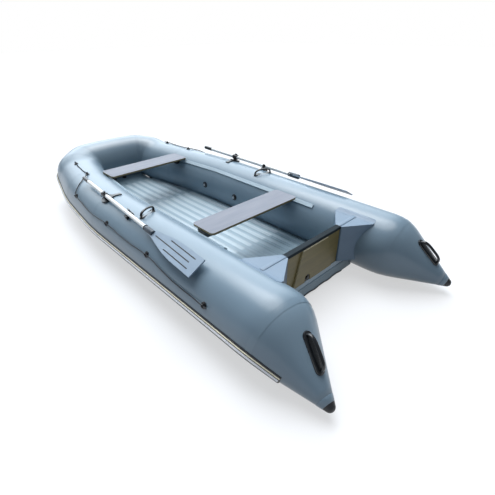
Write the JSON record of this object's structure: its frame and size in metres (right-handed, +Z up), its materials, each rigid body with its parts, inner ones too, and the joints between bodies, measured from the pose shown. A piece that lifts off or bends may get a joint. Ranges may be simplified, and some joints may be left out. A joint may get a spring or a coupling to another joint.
{
  "type": "inflatable boat",
  "caption": "Open inflatable boat with two side tubes joined at a blunt raised bow, a ribbed air floor, a plywood transom for an outboard motor, sliding bench seats and stowed oars.",
  "frame": {"origin": "middle of the length and beam, on the ground under the tubes", "axes": "+X forward to the bow, +Y to port, +Z up"},
  "size_m": [4.1131, 1.822, 0.5761],
  "materials": {
    "pvc": "satin coated fabric",
    "floor": "satin coated fabric",
    "black": "satin",
    "ply": "sealed",
    "seat": "painted",
    "shaft": "white coat",
    "blade": "satin",
    "rope": "braid",
    "strake": "satin"
  },
  "bodies": {
    "hull": {"port_tube": "pvc", "starboard_tube": "pvc", "bow_tube": "pvc", "air_floor": "floor", "transom_board": "ply", "transom_cap": "pvc", "motor_pad": "ply", "floor_seal": "floor", "drain_plug": "black", "port_transom_holder": "pvc", "starboard_transom_holder": "pvc", "port_tail_cap": "black", "starboard_tail_cap": "black", "port_tail_handle": "black", "starboard_tail_handle": "black", "port_carry_handle": "black", "starboard_carry_handle": "black", "port_rub_strake": "strake", "starboard_rub_strake": "strake", "port_seat_rail": "floor", "starboard_seat_rail": "floor", "port_oarlock_base": "black", "port_oar_clip": "black", "starboard_oarlock_base": "black", "starboard_oar_clip": "black", "port_eyelets": "black", "starboard_eyelets": "black", "port_lifeline": "rope", "starboard_lifeline": "rope", "port_valves": "black", "starboard_valves": "black", "bow_tow_eye": "black"},
    "port_oar": {"port_oar_shaft": "shaft", "port_oar_blade": "blade", "port_oar_grip": "black", "port_oarlock": "black"},
    "starboard_oar": {"starboard_oar_shaft": "shaft", "starboard_oar_blade": "blade", "starboard_oar_grip": "black", "starboard_oarlock": "black"},
    "front_seat": {"front_seat_board": "seat", "front_seat_brackets": "black"},
    "aft_seat": {"aft_seat_board": "seat", "aft_seat_brackets": "black"}
  },
  "joints": [
    {"name": "port_oar_swing", "type": "hinge", "parent": "hull", "child": "port_oar", "pos_m": [0.30964, 0.72788, 0.47996], "axis": [0.0189, 0.3084, 0.9511], "range_deg": [-120, 0]},
    {"name": "starboard_oar_swing", "type": "hinge", "parent": "hull", "child": "starboard_oar", "pos_m": [0.30964, -0.72788, 0.47996], "axis": [0.0189, -0.3084, 0.9511], "range_deg": [0, 120]},
    {"name": "front_seat_slide", "type": "slide", "parent": "hull", "child": "front_seat", "axis": [1, 0, 0], "range_m": [-0.45, 0]},
    {"name": "aft_seat_slide", "type": "slide", "parent": "hull", "child": "aft_seat", "axis": [1, 0, 0], "range_m": [-0.15, 0.6]}
  ]
}
